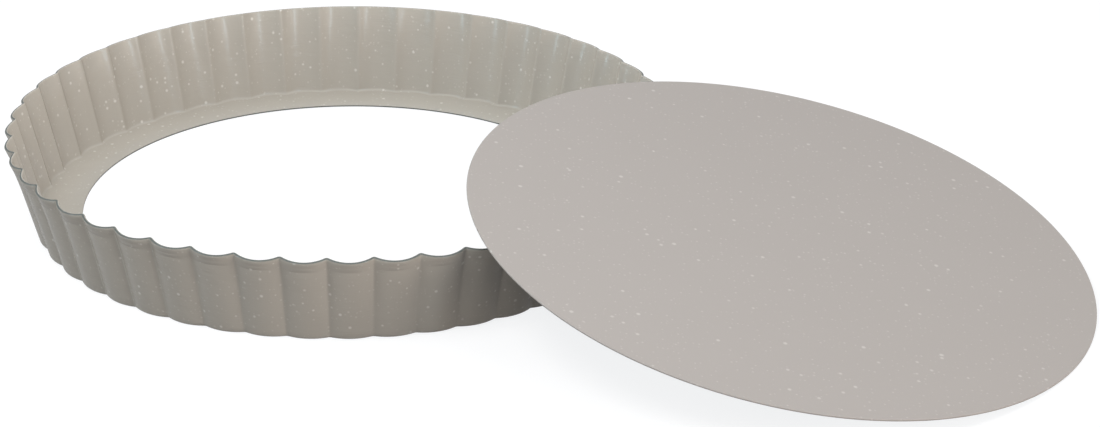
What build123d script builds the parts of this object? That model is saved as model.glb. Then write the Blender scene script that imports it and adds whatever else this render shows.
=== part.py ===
from build123d import *
from math import acos, atan2, cos, pi, radians, sin, tan
import os

os.makedirs("parts", exist_ok=True)

# A round fluted tin for quiches and tarts: a flared, fluted ring of pressed sheet with a flat
# ledge inside its foot, and a loose flat base that lies on the ledge in use. The base is shown
# taken out, leaning on the rim with its lowest edge on the table. The origin is on the ring's
# axis at the table, +Z is up.

# Fluted ring
flutes = 48
first_flute_turn = 4.615
rim_ridge_radius = 137.0
rim_height = 38.7
rim_flute_depth = 2.6
rim_dip = 0.98
foot_ridge_radius = 127.5
foot_flute_depth = 1.65
sheet_thickness = 0.6
groove_rounding = 0.7
hem_height = 5.6
foot_bend_radius = 1.8
ledge_hole_radius = 110.3

# Loose base
base_thickness = 0.8
base_clearance = 0.9
base_edge_chamfer = 0.3

# The base where it leans
lean_direction = -26.2
lean_reach = 323.4
lean_gap = 0.2

# Values that follow from the sizes above
half_pitch = pi / flutes
rim_spread = rim_ridge_radius - foot_ridge_radius
flare = atan2(rim_spread, rim_height)
sheet_run = sheet_thickness / cos(flare)
ridge_rounding = groove_rounding + 2 * sheet_run
bend_turn = pi / 2 - flare
inner_bend_radius = foot_bend_radius - sheet_thickness
rim_tilt = atan2(rim_dip, rim_ridge_radius + rim_flute_depth - rim_ridge_radius * cos(half_pitch))


def polar(radius, turn):
    """Level point at a distance from the ring's axis and a turn from the flute's middle."""
    return Vector(radius * cos(turn), radius * sin(turn))


def ridge_radius_at(height):
    """Distance of the inward ridges from the axis, on the inside of the wall."""
    return foot_ridge_radius + rim_spread * height / rim_height


def flute_depth_at(height):
    """How far the flutes bulge beyond the ridges."""
    return foot_flute_depth + (rim_flute_depth - foot_flute_depth) * height / rim_height


def flute_line(height, offset, place):
    """Points of one flute's line across the sheet, from ridge to ridge.

    The inside of the wall has offset 0; a larger offset lies further out. The ridges are round,
    and so is the flute between them, and their arcs run smoothly into each other.
    """
    ridge_centre = ridge_radius_at(height) + ridge_rounding
    flute_top = ridge_radius_at(height) + flute_depth_at(height)
    flute_rounding = (
        ridge_centre**2 + flute_top**2 - 2 * ridge_centre * flute_top * cos(half_pitch)
        - ridge_rounding**2
    ) / (2 * (flute_top - ridge_centre * cos(half_pitch) + ridge_rounding))
    flute_centre = polar(flute_top - flute_rounding, 0)
    ridge_share = (ridge_rounding - offset) / (flute_rounding + ridge_rounding)
    left_centre, right_centre = polar(ridge_centre, -half_pitch), polar(ridge_centre, half_pitch)
    left_joint = left_centre + (flute_centre - left_centre) * ridge_share
    right_joint = right_centre + (flute_centre - right_centre) * ridge_share
    left_end = polar(ridge_centre - ridge_rounding + offset, -half_pitch)
    right_end = polar(ridge_centre - ridge_rounding + offset, half_pitch)
    middle = polar(flute_top + offset, 0)
    return [place(point) for point in (left_end, left_joint, middle, right_joint, right_end)]


def draw_flute_line(points):
    """Arcs through a flute line's points: half a ridge, the flute, half a ridge."""
    left_end, left_joint, middle, right_joint, right_end = points
    flute = ThreePointArc(left_joint, middle, right_joint)
    TangentArc(left_joint, left_end, tangent=flute % 0 * -1)
    TangentArc(right_joint, right_end, tangent=flute % 1)


def slice_plane(height, tilt):
    """Plane across the flute, through its ridges' inner points at a height."""
    return Plane(
        origin=(ridge_radius_at(height) * cos(half_pitch), 0, height),
        x_dir=(cos(tilt), 0, -sin(tilt)),
        z_dir=(sin(tilt), 0, cos(tilt)),
    )


def sheet_slice(height, inner_offset, outer_offset, tilt):
    """Face across the sheet of one flute, between two of its lines."""
    ridge_x = ridge_radius_at(height) * cos(half_pitch)

    def place(point):
        """The level point, drawn on the tilted plane."""
        return ((point.X - ridge_x) / cos(tilt), point.Y)

    inner = flute_line(height, inner_offset, place)
    outer = flute_line(height, outer_offset, place)
    with BuildSketch(slice_plane(height, tilt)) as face:
        with BuildLine():
            draw_flute_line(inner)
            draw_flute_line(outer)
            Line(inner[0], outer[0])
            Line(inner[-1], outer[-1])
        make_face()
    return face.sketch


def ledge_slice(height, offset):
    """Face of one flute's share of the ledge, out to a flute line."""
    outer = flute_line(height, offset, lambda point: (point.X, point.Y))
    inner = [polar(ledge_hole_radius * cos(half_pitch), turn) for turn in (-half_pitch, half_pitch)]
    with BuildSketch(Plane.XY.offset(height)) as face:
        with BuildLine():
            draw_flute_line(outer)
            Polyline(outer[0], inner[0], inner[1], outer[-1])
        make_face()
    return face.sketch


def bend_height(radius, turn):
    """Height of a point on the foot's bend, at a turn from the flat ledge."""
    return foot_bend_radius - radius * cos(turn)


def bend_offset(radius, offset, height):
    """Offset of the foot's bend at a height; above the bend it is the wall's own offset."""
    bend_top = bend_height(radius, bend_turn)
    if height >= bend_top:
        return offset
    turn = acos((foot_bend_radius - height) / radius)
    return offset - radius * (sin(bend_turn) - sin(turn)) + (bend_top - height) * tan(flare)


# One flute of the ring: its share of the ledge, its wall, and its hem at the rim. The hem's free
# edge is level, and the rim above it dips between the ridges.
wall_start = bend_height(inner_bend_radius, bend_turn)
hem_start = rim_height - hem_height

ledge_slices = [
    ledge_slice(height, bend_offset(foot_bend_radius, sheet_run, height))
    for height in (0, sheet_thickness)
]
wall_slices = [
    sheet_slice(
        height,
        bend_offset(inner_bend_radius, 0, height),
        bend_offset(foot_bend_radius, sheet_run, height),
        0,
    )
    for height in (sheet_thickness, wall_start, hem_start)
]
hem_slices = [
    sheet_slice(height, 0, 2 * sheet_run, tilt)
    for height, tilt in ((hem_start, 0), (rim_height, rim_tilt))
]

with BuildPart() as flute:
    loft(ledge_slices, ruled=True)
    loft(wall_slices, ruled=True)
    loft(hem_slices, ruled=True)

with BuildPart() as fluted_ring:
    with PolarLocations(0, flutes, start_angle=first_flute_turn):
        add(flute.part)
    with BuildSketch():
        Circle(ledge_hole_radius)
    extrude(amount=sheet_thickness, mode=Mode.SUBTRACT)
fluted_ring.part.label = "fluted_ring"

# The base lies on the ledge with a little room inside the ridges, where the foot's bend ends.
base_radius = ridge_radius_at(wall_start) - base_clearance
lean_angle = atan2(rim_height + lean_gap, lean_reach - rim_ridge_radius)
lean_turn = radians(lean_direction)
down = polar(cos(lean_angle), lean_turn)
normal = polar(sin(lean_angle), lean_turn)
lean_plane = Plane(
    origin=polar(lean_reach, lean_turn),
    x_dir=(down.X, down.Y, -sin(lean_angle)),
    z_dir=(normal.X, normal.Y, cos(lean_angle)),
)

with BuildPart() as loose_base:
    with BuildSketch(lean_plane):
        with Locations((-base_radius, 0)):
            Circle(base_radius)
    extrude(amount=base_thickness)
    chamfer(loose_base.edges().filter_by(GeomType.CIRCLE), length=base_edge_chamfer)
loose_base.part.label = "loose_base"

export_step(fluted_ring.part, "parts/fluted_ring.step")
export_step(loose_base.part, "parts/loose_base.step")
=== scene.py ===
"""Looks of a loose-bottomed fluted quiche tin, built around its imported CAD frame."""

import logging
import math
from dataclasses import dataclass
from enum import Enum

import bmesh
import bpy
from mathutils import Matrix, Vector


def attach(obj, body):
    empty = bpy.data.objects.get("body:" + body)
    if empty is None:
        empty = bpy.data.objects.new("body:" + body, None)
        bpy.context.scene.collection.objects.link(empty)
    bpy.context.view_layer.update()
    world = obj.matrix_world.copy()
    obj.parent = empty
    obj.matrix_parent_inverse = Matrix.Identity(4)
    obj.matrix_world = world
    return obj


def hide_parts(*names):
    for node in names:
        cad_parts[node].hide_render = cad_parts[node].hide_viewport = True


LOG = logging.getLogger("quiche_tin")
EDGE_ATTRIBUTE = "edge"
MM = 0.001
WELD_DISTANCE = 1e-7
LEVEL_TOLERANCE = 1e-9


class Slot(Enum):
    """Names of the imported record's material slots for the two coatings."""

    RING = "ring_coating"
    BASE = "base_coating"


@dataclass(frozen=True)
class Speckle:
    """One size of pale fleck in the coating.

    Args:
        cells_per_metre: how closely the flecks are sown.
        radius: largest radius of a fleck, in metres.
        strength: how far the fleck's colour covers the coating, from 0 to 1.
    """

    cells_per_metre: float
    radius: float
    strength: float


@dataclass(frozen=True)
class Coating:
    """Baked-on non-stick coating with pale flecks over a warm grey ground.

    Heights are in metres and scales per metre. A stretch above 1 packs a pattern closer along its
    axis, and one below 1 draws it out.

    Args:
        name: the material's name.
        ground: main colour of the coating.
        cloud: colour that drifts over the ground in soft clouds.
        fleck: colour of the pale flecks.
        edge: dark colour along the folded and cut edges, and painted shade on the base's side.
        roughness: roughness of the coating.
        specular: strength of its reflection.
        metallic: how far it reflects as metal does.
        coat: strength of the clear layer on top.
        large: the larger flecks, sown further apart.
        small: the smaller flecks, sown closer.
        cloud_scale: how fine the clouds are.
        cloud_detail: how many finer layers the clouds have.
        cloud_share: how far the clouds cover the ground at most.
        fleck_softness: share of the largest radius over which a fleck's rim fades.
        coat_roughness: roughness of the clear layer.
        bump_detail: how many finer layers each unevenness has.
        peel_scale: how fine the grain of the sprayed coating is.
        peel_height: how high that grain stands.
        wave_scale: how fine the waves of the pressed sheet are.
        wave_stretch: stretch of the waves along each axis.
        wave_height: how high the waves stand.
        ripple_scale: how fine the ripples of the pressed sheet are.
        ripple_stretch: stretch of the ripples along each axis.
        ripple_height: how high the ripples stand.
    """

    name: str
    ground: tuple[float, float, float]
    cloud: tuple[float, float, float]
    fleck: tuple[float, float, float]
    edge: tuple[float, float, float]
    roughness: float
    specular: float
    metallic: float
    coat: float
    large: Speckle
    small: Speckle
    cloud_scale: float = 45.0
    cloud_detail: float = 4.0
    cloud_share: float = 0.35
    fleck_softness: float = 0.5
    coat_roughness: float = 0.12
    bump_detail: float = 2.0
    peel_scale: float = 1400.0
    peel_height: float = 0.000012
    wave_scale: float = 140.0
    wave_stretch: tuple[float, float, float] = (1.0, 1.0, 2.4)
    wave_height: float = 0.00016
    ripple_scale: float = 1600.0
    ripple_stretch: tuple[float, float, float] = (0.08, 0.08, 1.0)
    ripple_height: float = 0.00008

    def material(self) -> bpy.types.Material:
        """Builds the coating as a node material.

        Returns:
            The material, ready to be put on a mesh.
        """
        material = bpy.data.materials.new(self.name)
        material.use_nodes = True
        tree = material.node_tree
        tree.nodes.clear()
        output = tree.nodes.new("ShaderNodeOutputMaterial")
        shader = tree.nodes.new("ShaderNodeBsdfPrincipled")
        shader.inputs["Roughness"].default_value = self.roughness
        shader.inputs["Specular IOR Level"].default_value = self.specular
        shader.inputs["Metallic"].default_value = self.metallic
        shader.inputs["Coat Weight"].default_value = self.coat
        shader.inputs["Coat Roughness"].default_value = self.coat_roughness
        tree.links.new(shader.outputs["BSDF"], output.inputs["Surface"])
        place = tree.nodes.new("ShaderNodeTexCoord").outputs["Object"]
        colour = self._ground(tree, place)
        for speckle in (self.small, self.large):
            mask = self._fleck_mask(tree, place, speckle)
            colour = self._mix(tree, mask, colour, self.fleck)
        # The edge colour darkens the rim's fold and the ledge's cut edge, and paints shade on the
        # base's side.
        colour = self._mix(tree, self._edge_mask(tree), colour, self.edge)
        tree.links.new(colour, shader.inputs["Base Color"])
        tree.links.new(self._peel(tree, place), shader.inputs["Normal"])
        return material

    def _ground(self, tree: bpy.types.NodeTree, place: bpy.types.NodeSocket) -> bpy.types.NodeSocket:
        """Lays soft clouds, about two centimetres across, over the ground colour.

        Args:
            tree: the material's node tree.
            place: the Object coordinates.

        Returns:
            The output socket of the clouded colour.
        """
        noise = self._noise(tree, place, self.cloud_scale, self.cloud_detail)
        share = self._math(tree, "MULTIPLY", noise, self.cloud_share)
        ground = tree.nodes.new("ShaderNodeRGB")
        ground.outputs[0].default_value = (*self.ground, 1.0)
        return self._mix(tree, share, ground.outputs[0], self.cloud)

    def _fleck_mask(
        self, tree: bpy.types.NodeTree, place: bpy.types.NodeSocket, speckle: Speckle
    ) -> bpy.types.NodeSocket:
        """Mask that is above 0 on round flecks of mixed sizes.

        Args:
            tree: the material's node tree.
            place: the Object coordinates.
            speckle: how large, close and strong the flecks are.

        Returns:
            The mask's output socket.
        """
        cells = tree.nodes.new("ShaderNodeTexVoronoi")
        cells.inputs["Scale"].default_value = speckle.cells_per_metre
        tree.links.new(place, cells.inputs["Vector"])
        split = tree.nodes.new("ShaderNodeSeparateColor")
        tree.links.new(cells.outputs["Color"], split.inputs["Color"])
        largest = speckle.radius * speckle.cells_per_metre
        reach = self._math(tree, "MULTIPLY", split.outputs["Red"], largest)
        inside = self._math(tree, "SUBTRACT", reach, cells.outputs["Distance"])
        soft = self._math(tree, "DIVIDE", inside, largest * self.fleck_softness, clamp=True)
        return self._math(tree, "MULTIPLY", soft, speckle.strength)

    def _edge_mask(self, tree: bpy.types.NodeTree) -> bpy.types.NodeSocket:
        """Reads the attribute that marks the folded and cut edges of the mesh, and the side of the
        base where shade is painted.

        Args:
            tree: the material's node tree.

        Returns:
            The mask's output socket, which is 1 on an edge.
        """
        edge = tree.nodes.new("ShaderNodeAttribute")
        edge.attribute_name = EDGE_ATTRIBUTE
        return edge.outputs["Fac"]

    def _peel(self, tree: bpy.types.NodeTree, place: bpy.types.NodeSocket) -> bpy.types.NodeSocket:
        """Lays the coating's grain over the ripples and the waves of the pressed sheet.

        Args:
            tree: the material's node tree.
            place: the Object coordinates.

        Returns:
            The output socket of the uneven normal.
        """
        wave_place = self._stretch(tree, place, self.wave_stretch)
        ripple_place = self._stretch(tree, place, self.ripple_stretch)
        waves = self._bump(tree, wave_place, self.wave_scale, self.wave_height)
        ripples = self._bump(tree, ripple_place, self.ripple_scale, self.ripple_height, waves)
        return self._bump(tree, place, self.peel_scale, self.peel_height, ripples)

    @staticmethod
    def _stretch(
        tree: bpy.types.NodeTree,
        place: bpy.types.NodeSocket,
        scale: tuple[float, float, float],
    ) -> bpy.types.NodeSocket:
        """Stretches coordinates, so that a pattern is longer along some axes.

        Args:
            tree: the material's node tree.
            place: the coordinates to stretch.
            scale: what each axis is multiplied by.

        Returns:
            The output socket of the stretched coordinates.
        """
        mapping = tree.nodes.new("ShaderNodeMapping")
        mapping.inputs["Scale"].default_value = scale
        tree.links.new(place, mapping.inputs["Vector"])
        return mapping.outputs[0]

    @staticmethod
    def _noise(
        tree: bpy.types.NodeTree, place: bpy.types.NodeSocket, scale: float, detail: float
    ) -> bpy.types.NodeSocket:
        """Adds soft noise.

        Args:
            tree: the material's node tree.
            place: the coordinates that the noise reads.
            scale: how fine it is, per metre.
            detail: how many finer layers it has.

        Returns:
            The output socket of the noise's value.
        """
        noise = tree.nodes.new("ShaderNodeTexNoise")
        noise.inputs["Scale"].default_value = scale
        noise.inputs["Detail"].default_value = detail
        tree.links.new(place, noise.inputs["Vector"])
        return noise.outputs["Fac"]

    def _bump(
        self,
        tree: bpy.types.NodeTree,
        place: bpy.types.NodeSocket,
        scale: float,
        height: float,
        under: bpy.types.NodeSocket | None = None,
    ) -> bpy.types.NodeSocket:
        """Adds a bump of soft noise.

        Args:
            tree: the material's node tree.
            place: the coordinates that the noise reads.
            scale: how fine the noise is, per metre.
            height: how high it stands, in metres.
            under: normal of the unevenness that it lies on, or None on the bare mesh.

        Returns:
            The output socket of the bumped normal.
        """
        bump = tree.nodes.new("ShaderNodeBump")
        bump.inputs["Strength"].default_value = 1.0
        bump.inputs["Distance"].default_value = height
        tree.links.new(self._noise(tree, place, scale, self.bump_detail), bump.inputs["Height"])
        if under is not None:
            tree.links.new(under, bump.inputs["Normal"])
        return bump.outputs[0]

    @staticmethod
    def _math(
        tree: bpy.types.NodeTree,
        operation: str,
        first: bpy.types.NodeSocket,
        second: bpy.types.NodeSocket | float,
        clamp: bool = False,
    ) -> bpy.types.NodeSocket:
        """Adds a Math node.

        Args:
            tree: the material's node tree.
            operation: the node's operation.
            first: socket linked to the first input.
            second: socket or number for the second input.
            clamp: whether the result is kept between 0 and 1.

        Returns:
            The node's output socket.
        """
        node = tree.nodes.new("ShaderNodeMath")
        node.operation = operation
        node.use_clamp = clamp
        tree.links.new(first, node.inputs[0])
        if isinstance(second, bpy.types.NodeSocket):
            tree.links.new(second, node.inputs[1])
        else:
            node.inputs[1].default_value = second
        return node.outputs[0]

    @staticmethod
    def _mix(
        tree: bpy.types.NodeTree,
        share: bpy.types.NodeSocket,
        under: bpy.types.NodeSocket,
        over: tuple[float, float, float],
    ) -> bpy.types.NodeSocket:
        """Covers one colour by another.

        Args:
            tree: the material's node tree.
            share: socket of how far it is covered, from 0 to 1.
            under: socket of the colour below.
            over: the colour on top.

        Returns:
            The output socket of the mixed colour.
        """
        node = tree.nodes.new("ShaderNodeMix")
        node.data_type = "RGBA"
        tree.links.new(share, node.inputs["Factor"])
        tree.links.new(under, node.inputs["A"])
        node.inputs["B"].default_value = (*over, 1.0)
        return node.outputs["Result"]


def finish_mesh(mesh: bmesh.types.BMesh, name: str, material: bpy.types.Material) -> bpy.types.Object:
    """Turns a bmesh into a smooth-shaded object of the scene.

    Args:
        mesh: the bmesh, which is freed.
        name: the piece's name.
        material: the finish it is given.

    Returns:
        The new object, at the origin.
    """
    bmesh.ops.recalc_face_normals(mesh, faces=mesh.faces)
    for face in mesh.faces:
        face.smooth = True
    data = bpy.data.meshes.new(name)
    mesh.to_mesh(data)
    mesh.free()
    data.materials.append(material)
    piece = bpy.data.objects.new(name, data)
    bpy.context.scene.collection.objects.link(piece)
    return piece


@dataclass
class FlutedRing:
    """Flared, fluted wall with a folded rim, a bent foot and a flat ledge, from one sheet.

    All sizes are in metres. Radii are measured from the ring's axis, at the inward ridges and on
    the inside of the wall.

    Args:
        flutes: how many flutes the wall has.
        first_ridge_turn: turn of the first ridge about the axis.
        rim_ridge_radius: radius at the rim.
        rim_height: height of the ridges at the rim.
        rim_flute_depth: how far the flutes bulge beyond the ridges at the rim.
        rim_dip: how far the rim dips between two ridges.
        foot_ridge_radius: radius at the foot, before it bends.
        foot_flute_depth: how far the flutes bulge beyond the ridges at the foot.
        sheet: thickness of the sheet.
        groove_rounding: radius of the grooves on the outside of the hem.
        hem_height: height of the folded hem.
        rim_rounding: radius of the fold over the rim.
        edge_height: height of the dark line on the outside of the rim.
        inner_edge_share: height of that line on the inside, as a share of the outside's.
        foot_bend_radius: outer radius of the foot's bend.
        ledge_hole_radius: radius of the hole in the ledge.
        cut_edge: how far the sheet's cut edges are broken.
        hem_edge_share: offset of the hem's free edge, in thicknesses of the sheet.
        hem_step: how deep the flutes are pressed in just below the hem's free edge.
        crease_rise: height of the rolled crease above the hem's free edge.
        crease_width: width of that crease.
        crease_depth: depth of that crease.
        swell_height: how far below the rim the pressing in towards the hem begins.
        bend_steps: faces along the foot's bend.
        fold_steps: faces along each quarter of the fold over the rim.
        wall_steps: faces up the plain part of the wall.
        steps_per_flute: faces across one flute.
        ridge_gather: how strongly those faces are gathered at the ridges.
    """

    flutes: int = 48
    first_ridge_turn: float = math.radians(0.865)
    rim_ridge_radius: float = 137.0 * MM
    rim_height: float = 38.7 * MM
    rim_flute_depth: float = 2.6 * MM
    rim_dip: float = 0.98 * MM
    foot_ridge_radius: float = 127.5 * MM
    foot_flute_depth: float = 1.65 * MM
    sheet: float = 0.6 * MM
    groove_rounding: float = 0.7 * MM
    hem_height: float = 5.6 * MM
    rim_rounding: float = 0.58 * MM
    edge_height: float = 0.5 * MM
    inner_edge_share: float = 0.2
    foot_bend_radius: float = 1.8 * MM
    ledge_hole_radius: float = 110.3 * MM
    cut_edge: float = 0.12 * MM
    hem_edge_share: float = 1.62
    hem_step: float = 0.07 * MM
    crease_rise: float = 2.3 * MM
    crease_width: float = 0.5 * MM
    crease_depth: float = 0.05 * MM
    swell_height: float = 13.0 * MM
    bend_steps: int = 9
    fold_steps: int = 5
    wall_steps: int = 8
    steps_per_flute: int = 22
    ridge_gather: float = 0.11

    @property
    def half_pitch(self) -> float:
        """Turn from a ridge to the middle of the flute beside it."""
        return math.pi / self.flutes

    @property
    def flare(self) -> float:
        """Angle between the wall and the ring's axis."""
        return math.atan2(self.rim_ridge_radius - self.foot_ridge_radius, self.rim_height)

    @property
    def sheet_run(self) -> float:
        """The sheet's thickness, measured level across the flared wall."""
        return self.sheet / math.cos(self.flare)

    @property
    def ridge_rounding(self) -> float:
        """Radius of the ridges on the inside, which the folded hem still goes round."""
        return self.groove_rounding + 2 * self.sheet_run

    @property
    def rim_tilt(self) -> float:
        """Slope of the rim from its ridges down to the tops of its flutes."""
        ridge_x = self.rim_ridge_radius * math.cos(self.half_pitch)
        return math.atan2(self.rim_dip, self.rim_ridge_radius + self.rim_flute_depth - ridge_x)

    def ridge_radius_at(self, height: float) -> float:
        """Distance of the ridges from the axis, on the inside of the wall."""
        return self.foot_ridge_radius + height * math.tan(self.flare)

    def flute_depth_at(self, height: float) -> float:
        """How far the flutes bulge beyond the ridges."""
        growth = (self.rim_flute_depth - self.foot_flute_depth) / self.rim_height
        return self.foot_flute_depth + growth * height

    def fluted_radius(self, height: float, offset: float, turn: float) -> float:
        """Distance of the fluted sheet from the axis.

        Args:
            height: height above the table.
            offset: distance outwards from the inside of the wall.
            turn: turn about the axis, from the nearest ridge.

        Returns:
            The radius, on the ridge's arc or on the flute's arc that runs smoothly into it.
        """
        ridge_centre = self.ridge_radius_at(height) + self.ridge_rounding
        flute_top = self.ridge_radius_at(height) + self.flute_depth_at(height)
        spread = math.cos(self.half_pitch)
        flute_rounding = (
            ridge_centre**2 + flute_top**2 - 2 * ridge_centre * flute_top * spread
            - self.ridge_rounding**2
        ) / (2 * (flute_top - ridge_centre * spread + self.ridge_rounding))
        flute_centre = flute_top - flute_rounding
        share = (self.ridge_rounding - offset) / (flute_rounding + self.ridge_rounding)
        joint_x = ridge_centre + (flute_centre * spread - ridge_centre) * share
        joint_y = flute_centre * math.sin(self.half_pitch) * share
        if abs(turn) < math.atan2(joint_y, joint_x):
            across = ridge_centre * math.sin(turn)
            arc = self.ridge_rounding - offset
            return ridge_centre * math.cos(turn) - math.sqrt(max(arc**2 - across**2, 0.0))
        turn = self.half_pitch - abs(turn)
        across = flute_centre * math.sin(turn)
        return flute_centre * math.cos(turn) + math.sqrt((flute_rounding + offset) ** 2 - across**2)

    def section(self) -> list[tuple[float, float, float]]:
        """Outline of the sheet, cut through a ridge, once round.

        Returns:
            Points as a radius, a height and how deep the flutes' middles are pressed in there,
            from the ledge's cut edge along the underside, up the outside, over the rim's fold
            and down the inside to the ledge again.
        """
        outside = [
            (self.ledge_hole_radius, self.cut_edge),
            (self.ledge_hole_radius + self.cut_edge, 0.0),
        ]
        outside += self._bend(self.foot_bend_radius, self.sheet_run)
        outside += self._wall(self.sheet_run)
        inside = self._bend(self.foot_bend_radius - self.sheet, 0.0) + self._wall(0.0)
        inside.reverse()
        inside += [
            (self.ledge_hole_radius + self.cut_edge, self.sheet),
            (self.ledge_hole_radius, self.sheet - self.cut_edge),
        ]
        hem = self._hem_side() + [(radius, height, 0.0) for radius, height in self._fold()]
        return [(*point, 0.0) for point in outside] + hem + [(*point, 0.0) for point in inside]

    def _bend(self, radius: float, offset: float) -> list[tuple[float, float]]:
        """Follows the foot's bend, from the flat ledge up to the flared wall.

        Args:
            radius: radius of the bend.
            offset: distance outwards from the inside of the wall.

        Returns:
            Points as a radius and a height.
        """
        end = math.pi / 2 - self.flare
        start_height = self.foot_bend_radius - radius * math.cos(end)
        centre = self.ridge_radius_at(start_height) + offset - radius * math.sin(end)
        turns = [end * step / self.bend_steps for step in range(self.bend_steps + 1)]
        return [
            (centre + radius * math.sin(turn), self.foot_bend_radius - radius * math.cos(turn))
            for turn in turns
        ]

    def _wall(self, offset: float) -> list[tuple[float, float]]:
        """Follows the flared wall, from the foot's bend to where the pressing in begins.

        Args:
            offset: distance outwards from the inside of the wall.

        Returns:
            Points as a radius and a height.
        """
        top = self.rim_height - self.swell_height
        heights = [top * (step + 1) / self.wall_steps for step in range(self.wall_steps)]
        return [(self.ridge_radius_at(height) + offset, height) for height in heights]

    def _hem_side(self) -> list[tuple[float, float, float]]:
        """Follows the outside of the hem: its free edge, and the crease rolled in above it.

        Returns:
            Points as a radius, a height and how deep the flutes' middles are pressed in there.
        """
        low = self.rim_height - self.hem_height
        crease = low + self.crease_rise
        half_width = self.crease_width / 2
        free_edge = self.hem_edge_share * self.sheet_run
        growth = (2 * self.sheet_run - free_edge) / self.hem_height
        side = [
            (low - self.crease_width, self.hem_step),
            (low - self.cut_edge, self.hem_step + self.crease_depth),
            (low, self.hem_step / 2),
            (low + self.cut_edge, 0.0),
            (crease - half_width, 0.0),
            (crease, self.crease_depth),
            (crease + half_width, 0.0),
        ]
        return [
            (self.ridge_radius_at(height) + free_edge + growth * max(height - low, 0.0), height, depth)
            for height, depth in side
        ]

    def _fold(self) -> list[tuple[float, float]]:
        """Follows the fold over the rim, from the outside to the inside.

        Returns:
            Points as a radius and a height.
        """
        top = self.rim_height - self.rim_rounding
        quarter = math.pi / 2 / self.fold_steps
        fold = []
        for step in range(2 * self.fold_steps + 1):
            sine, cosine = math.sin(step * quarter), math.cos(step * quarter)
            if step <= self.fold_steps:
                offset = 2 * self.sheet_run - self.rim_rounding * (1 - cosine)
            else:
                offset = self.rim_rounding * (1 + cosine)
            height = top + self.rim_rounding * sine
            fold.append((self.ridge_radius_at(height) + offset, height))
        return fold

    def build(self, material: bpy.types.Material) -> bpy.types.Object:
        """Spins the sheet's section about the axis and presses the flutes into it.

        Args:
            material: the ring's coating.

        Returns:
            The ring as one object.
        """
        mesh = bmesh.new()
        edge_layer = mesh.verts.layers.float.new(EDGE_ATTRIBUTE)
        relief_layer = mesh.verts.layers.float.new("relief")
        verts = []
        for radius, height, relief in self.section():
            verts.append(mesh.verts.new((radius, 0.0, height)))
            verts[-1][relief_layer] = relief
        edges = [mesh.edges.new((vert, verts[i - 1])) for i, vert in enumerate(verts)]
        bmesh.ops.spin(
            mesh,
            geom=verts + edges,
            cent=(0.0, 0.0, 0.0),
            axis=(0.0, 0.0, 1.0),
            angle=2 * math.pi,
            steps=self.flutes * self.steps_per_flute,
            use_merge=True,
        )
        bmesh.ops.remove_doubles(mesh, verts=mesh.verts, dist=WELD_DISTANCE)
        for vert in mesh.verts:
            self._press(vert, vert[relief_layer], edge_layer)
        mesh.verts.layers.float.remove(relief_layer)
        return finish_mesh(mesh, "ring_sheet", material)

    def _press(
        self, vert: bmesh.types.BMVert, relief: float, edge_layer: bmesh.types.BMLayerItem
    ) -> None:
        """Moves one point of the turned sheet to where the flutes put it.

        The points are gathered at the ridges first, where the wall bends most. A point's share is
        how far it is across its flute, from 0 at one ridge to 1 at the next.

        Args:
            vert: the point, moved in place.
            relief: how deep the middle of a flute is pressed in at this line.
            edge_layer: attribute that marks the rim's fold and the ledge's cut edge.
        """
        radius = math.hypot(vert.co.x, vert.co.y)
        level = height = vert.co.z
        turn = math.atan2(vert.co.y, vert.co.x)
        pitch = 2 * self.half_pitch
        share = turn / pitch % 1.0
        share -= self.ridge_gather * math.sin(2 * math.pi * share)
        turn = self.first_ridge_turn + (math.floor(turn / pitch) + share) * pitch
        on_wall = radius > self.foot_ridge_radius - self.foot_bend_radius - self.sheet
        on_cut_edge = radius < self.ledge_hole_radius + self.cut_edge / 2
        if on_wall:
            offset = radius - self.ridge_radius_at(level)
            radius = self.fluted_radius(level, offset, (share - round(share)) * pitch)
            radius -= relief * math.sin(math.pi * share) ** 2
            height -= self._dip(level, radius, abs(share - 0.5) * pitch)
            vert[edge_layer] = self._rim_darkness(level, offset)
        elif on_cut_edge:
            vert[edge_layer] = 1.0
        vert.co = (radius * math.cos(turn), radius * math.sin(turn), height)

    def _rim_darkness(self, level: float, offset: float) -> float:
        """Strength of the dark line along the rim: 1 at its top, 0 from the line's foot down."""
        reach = self.edge_height * (1.0 if offset > self.sheet_run else self.inner_edge_share)
        return max(0.0, 1.0 - (self.rim_height - level) / reach)

    def _dip(self, level: float, radius: float, from_middle: float) -> float:
        """How far a point of the wall lies below its ridges' level.

        Args:
            level: height of the same line at the ridges.
            radius: the point's distance from the axis.
            from_middle: turn between the point and the middle of its flute.

        Returns:
            The drop, which grows from nothing at the hem's free edge to the rim's full slope.
        """
        share = max(0.0, 1.0 - (self.rim_height - level) / self.hem_height)
        ridge_x = self.ridge_radius_at(level) * math.cos(self.half_pitch)
        return share * math.tan(self.rim_tilt) * (radius * math.cos(from_middle) - ridge_x)


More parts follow.
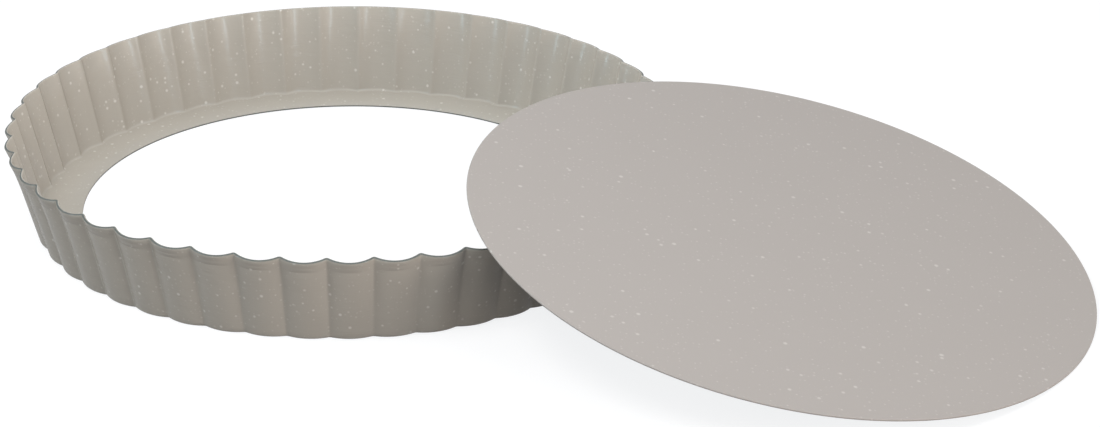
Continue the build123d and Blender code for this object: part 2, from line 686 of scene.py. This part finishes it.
@dataclass
class LooseBase:
    """Flat round base, leaning on the ring's rim with its lowest edge on the table.

    Args:
        radius: radius of the disc, in metres as all sizes are.
        thickness: its thickness.
        edge_rounding: radius of its rounded edge.
        edge_segments: faces round that edge, above and below.
        edge_profile: profile of that rounding, as the bevel takes it.
        dark_edge_share: width of the painted shade along the disc's side, in roundings.
        lean_direction: turn about the ring's axis towards which the base comes down.
        lean_reach: distance of its lowest edge from the ring's axis.
        lean_gap: room that it keeps above the rim.
        rim_radius: radius of the ridges that it leans on.
        rim_height: height of those ridges.
        segments: corners of the disc's outline.
    """

    radius: float = 126.972 * MM
    thickness: float = 0.8 * MM
    edge_rounding: float = 0.3 * MM
    edge_segments: int = 3
    edge_profile: float = 0.5
    dark_edge_share: float = 1.1
    lean_direction: float = math.radians(-26.2)
    lean_reach: float = 323.4 * MM
    lean_gap: float = 0.2 * MM
    rim_radius: float = 137.0 * MM
    rim_height: float = 38.7 * MM
    segments: int = 360

    def build(self, material: bpy.types.Material) -> bpy.types.Object:
        """Builds the disc flat and leans it on the rim.

        Args:
            material: the base's coating.

        Returns:
            The base as one object.
        """
        mesh = bmesh.new()
        bmesh.ops.create_circle(mesh, cap_ends=True, segments=self.segments, radius=self.radius)
        raised = bmesh.ops.extrude_face_region(mesh, geom=mesh.faces[:])
        top = [item for item in raised["geom"] if isinstance(item, bmesh.types.BMVert)]
        bmesh.ops.translate(mesh, vec=(0.0, 0.0, self.thickness), verts=top)
        rims = [
            edge
            for edge in mesh.edges
            if abs(edge.verts[0].co.z - edge.verts[1].co.z) < LEVEL_TOLERANCE
        ]
        bmesh.ops.bevel(
            mesh,
            geom=rims,
            offset=self.edge_rounding,
            segments=self.edge_segments,
            profile=self.edge_profile,
            affect="EDGES",
            material=-1,
        )
        caps = [face for face in mesh.faces if len(face.verts) > 4]
        bmesh.ops.inset_region(mesh, faces=caps, thickness=self.edge_rounding, use_even_offset=True)
        # The disc's side takes the coating's edge colour: painted shade.
        painted_shade_from = self.radius - self.dark_edge_share * self.edge_rounding
        side = {vert for vert in mesh.verts if vert.co.xy.length > painted_shade_from}
        bmesh.ops.transform(mesh, matrix=self.lean(), verts=mesh.verts)
        edge_layer = mesh.verts.layers.float.new(EDGE_ATTRIBUTE)
        for vert in mesh.verts:
            vert[edge_layer] = 1.0 if vert in side else 0.0
        return finish_mesh(mesh, "base_disc", material)

    def lean(self) -> Matrix:
        """Works out the place of the leaning base, turned down about its lowest edge.

        Returns:
            The matrix that takes the flat disc, centred on the origin, to its place.
        """
        run = self.lean_reach - self.rim_radius
        angle = math.atan2(self.rim_height + self.lean_gap, run)
        facing = Matrix.Rotation(self.lean_direction, 4, "Z")
        lowest = Matrix.Translation((self.lean_reach, 0.0, 0.0))
        tilt = Matrix.Rotation(angle, 4, "Y")
        centre = Matrix.Translation((-self.radius, 0.0, 0.0))
        return facing @ lowest @ tilt @ centre


@dataclass(frozen=True)
class Lamp:
    """Rectangular soft lamp that faces the object.

    Args:
        name: the lamp's name.
        place: where it hangs, in metres.
        size: its width and its height, in metres.
        power: its power, in watts.
        colour: the colour of its light.
        mirrored: whether the lamp itself shows in glossy surfaces.
    """

    name: str
    place: tuple[float, float, float]
    size: tuple[float, float]
    power: float
    colour: tuple[float, float, float]
    mirrored: bool = False

    def hang(self) -> None:
        """Adds the lamp to the scene, turned towards the object."""
        light = bpy.data.lights.new(self.name, "AREA")
        light.shape = "RECTANGLE"
        light.size, light.size_y = self.size
        light.energy = self.power
        light.color = self.colour
        lamp = bpy.data.objects.new(self.name, light)
        lamp.location = self.place
        lamp.rotation_euler = Vector(self.place).to_track_quat("Z", "Y").to_euler()
        lamp.visible_glossy = self.mirrored
        bpy.context.scene.collection.objects.link(lamp)


LAMPS = (
    Lamp("strip_left", (-1.88, -0.68, 1.15), (0.12, 1.7), 3.5, (0.52, 0.81, 1.0), mirrored=True),
    Lamp("strip_right", (1.28, -1.53, 1.15), (0.12, 1.7), 3.5, (0.52, 0.79, 1.0), mirrored=True),
    Lamp("fill_left", (-2.0, 0.1, 0.95), (1.4, 1.2), 10.0, (0.95, 1.0, 1.0)),
    Lamp("fill_right", (1.78, -1.4, 0.62), (1.6, 1.2), 31.0, (1.0, 0.9, 0.83)),
    Lamp("top_left", (-0.3, -0.45, 0.85), (0.35, 0.35), 4.5, (0.98, 1.0, 1.0)),
    Lamp("top_back", (-0.8, 1.7, 1.4), (1.0, 0.8), 6.0, (1.0, 1.0, 1.0)),
)


@dataclass
class Studio:
    """Pale floor, soft lamps and the camera at the photograph's viewing angle.

    Args:
        camera_place: place of the camera, in metres.
        camera_pitch: how far the camera looks down from level, in radians.
        camera_roll: how far it is turned about its line of sight, in radians.
        camera_lens: its focal length, in millimetres.
        floor_half: half the floor's width, in metres.
        floor_colour: colour of the floor under the lamps.
        floor_lift: light that the floor adds, so that it shows as white.
        floor_gloss: share of that light that shows in reflections.
        world_colour: colour of the surround.
        world_low: strength of the surround at the level of the table.
        world_rise: what is added to that strength straight overhead.
        backdrop_colour: colour that the camera sees behind the floor.
        lamps: the lamps, in the order they are hung.
    """

    camera_place: tuple[float, float, float] = (0.08664, -1.23449, 0.54653)
    camera_pitch: float = 0.4190
    camera_roll: float = 0.0095
    camera_lens: float = 104.3
    floor_half: float = 6.0
    floor_colour: tuple[float, float, float] = (0.19, 0.18, 0.175)
    floor_lift: tuple[float, float, float] = (0.84, 0.85, 0.86)
    floor_gloss: float = 0.35
    world_colour: tuple[float, float, float] = (0.95, 0.985, 1.0)
    world_low: float = 0.24
    world_rise: float = 0.44
    backdrop_colour: tuple[float, float, float] = (1.0, 1.0, 1.0)
    lamps: tuple[Lamp, ...] = LAMPS

    def build(self) -> None:
        """Sets up the floor, the world, the lamps, the camera and the colour view."""
        self._floor()
        self._world()
        for lamp in self.lamps:
            lamp.hang()
        self._camera()
        bpy.context.scene.view_settings.view_transform = "Standard"
        LOG.info("studio: %d lamps", len(self.lamps))

    def _floor(self) -> None:
        """Adds the floor, which shows as white and keeps the object's shadow."""
        mesh = bmesh.new()
        bmesh.ops.create_grid(mesh, x_segments=1, y_segments=1, size=self.floor_half)
        material = bpy.data.materials.new("floor_paper")
        material.use_nodes = True
        tree = material.node_tree
        tree.nodes.clear()
        output = tree.nodes.new("ShaderNodeOutputMaterial")
        paper = tree.nodes.new("ShaderNodeBsdfDiffuse")
        paper.inputs["Color"].default_value = (*self.floor_colour, 1.0)
        lift = tree.nodes.new("ShaderNodeEmission")
        lift.inputs["Color"].default_value = (*self.floor_lift, 1.0)
        path = tree.nodes.new("ShaderNodeLightPath")
        seen = tree.nodes.new("ShaderNodeMath")
        seen.operation = "MULTIPLY_ADD"
        seen.inputs[1].default_value = self.floor_gloss
        tree.links.new(path.outputs["Is Glossy Ray"], seen.inputs[0])
        tree.links.new(path.outputs["Is Camera Ray"], seen.inputs[2])
        tree.links.new(seen.outputs[0], lift.inputs["Strength"])
        both = tree.nodes.new("ShaderNodeAddShader")
        tree.links.new(paper.outputs[0], both.inputs[0])
        tree.links.new(lift.outputs[0], both.inputs[1])
        tree.links.new(both.outputs[0], output.inputs["Surface"])
        floor = finish_mesh(mesh, "floor", material)

    def _world(self) -> None:
        """Sets a nearly white surround that is brighter overhead."""
        world = bpy.data.worlds.new("studio")
        world.use_nodes = True
        tree = world.node_tree
        tree.nodes.clear()
        output = tree.nodes.new("ShaderNodeOutputWorld")
        light = tree.nodes.new("ShaderNodeBackground")
        light.inputs["Color"].default_value = (*self.world_colour, 1.0)
        direction = tree.nodes.new("ShaderNodeTexCoord")
        split = tree.nodes.new("ShaderNodeSeparateXYZ")
        tree.links.new(direction.outputs["Generated"], split.inputs[0])
        rise = tree.nodes.new("ShaderNodeMath")
        rise.operation = "MULTIPLY_ADD"
        rise.use_clamp = True
        rise.inputs[1].default_value = self.world_rise
        rise.inputs[2].default_value = self.world_low
        tree.links.new(split.outputs["Z"], rise.inputs[0])
        tree.links.new(rise.outputs[0], light.inputs["Strength"])
        path = tree.nodes.new("ShaderNodeLightPath")
        backdrop = tree.nodes.new("ShaderNodeBackground")
        backdrop.inputs["Color"].default_value = (*self.backdrop_colour, 1.0)
        seen = tree.nodes.new("ShaderNodeMixShader")
        tree.links.new(path.outputs["Is Camera Ray"], seen.inputs[0])
        tree.links.new(light.outputs[0], seen.inputs[1])
        tree.links.new(backdrop.outputs[0], seen.inputs[2])
        tree.links.new(seen.outputs[0], output.inputs["Surface"])
        bpy.context.scene.world = world

    def _camera(self) -> None:
        """Adds the camera where the photograph was taken from."""
        lens = bpy.data.cameras.new("photo_camera")
        lens.lens = self.camera_lens
        camera = bpy.data.objects.new("photo_camera", lens)
        look = Matrix.Rotation(math.pi / 2 - self.camera_pitch, 4, "X")
        roll = Matrix.Rotation(self.camera_roll, 4, "Z")
        camera.matrix_world = Matrix.Translation(self.camera_place) @ look @ roll
        bpy.context.scene.collection.objects.link(camera)
        bpy.context.scene.camera = camera


RING_COATING = Coating(
    name="ring_coating",
    ground=(0.495, 0.454, 0.398),
    cloud=(0.556, 0.515, 0.454),
    fleck=(0.82, 0.79, 0.74),
    edge=(0.09, 0.105, 0.1),
    roughness=0.24,
    specular=0.5,
    metallic=0.13,
    coat=0.35,
    large=Speckle(cells_per_metre=300.0, radius=0.0009, strength=0.66),
    small=Speckle(cells_per_metre=560.0, radius=0.0006, strength=0.26),
)
BASE_COATING = Coating(
    name="base_coating",
    ground=(0.43, 0.391, 0.368),
    cloud=(0.454, 0.414, 0.39),
    fleck=(0.82, 0.79, 0.75),
    # painted shade on the disc's side
    edge=(0.17, 0.19, 0.185),
    roughness=0.5,
    specular=0.5,
    metallic=0.1,
    coat=0.0,
    wave_height=0.00003,
    ripple_height=0.00001,
    large=Speckle(cells_per_metre=200.0, radius=0.0011, strength=0.36),
    small=Speckle(cells_per_metre=520.0, radius=0.0006, strength=0.2),
)


def main() -> None:
    """Dresses both pieces over the loaded frame and sets up the studio."""
    logging.basicConfig(level=logging.INFO, format="%(name)s: %(message)s")
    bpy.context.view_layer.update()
    ring = FlutedRing().build(RING_COATING.material())
    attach(ring, "ring")
    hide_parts("fluted_ring")
    LOG.info("ring_sheet: %d faces", len(ring.data.polygons))
    base = LooseBase().build(BASE_COATING.material())
    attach(base, "base")
    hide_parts("loose_base")
    LOG.info("base_disc: %d faces", len(base.data.polygons))
    Studio().build()


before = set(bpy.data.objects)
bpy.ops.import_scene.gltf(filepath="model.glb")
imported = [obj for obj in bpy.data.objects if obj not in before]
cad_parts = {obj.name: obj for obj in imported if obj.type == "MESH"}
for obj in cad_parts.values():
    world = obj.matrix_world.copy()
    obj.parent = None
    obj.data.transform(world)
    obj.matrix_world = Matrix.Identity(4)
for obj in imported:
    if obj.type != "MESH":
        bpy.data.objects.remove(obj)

if __name__ == "__main__":
    main()
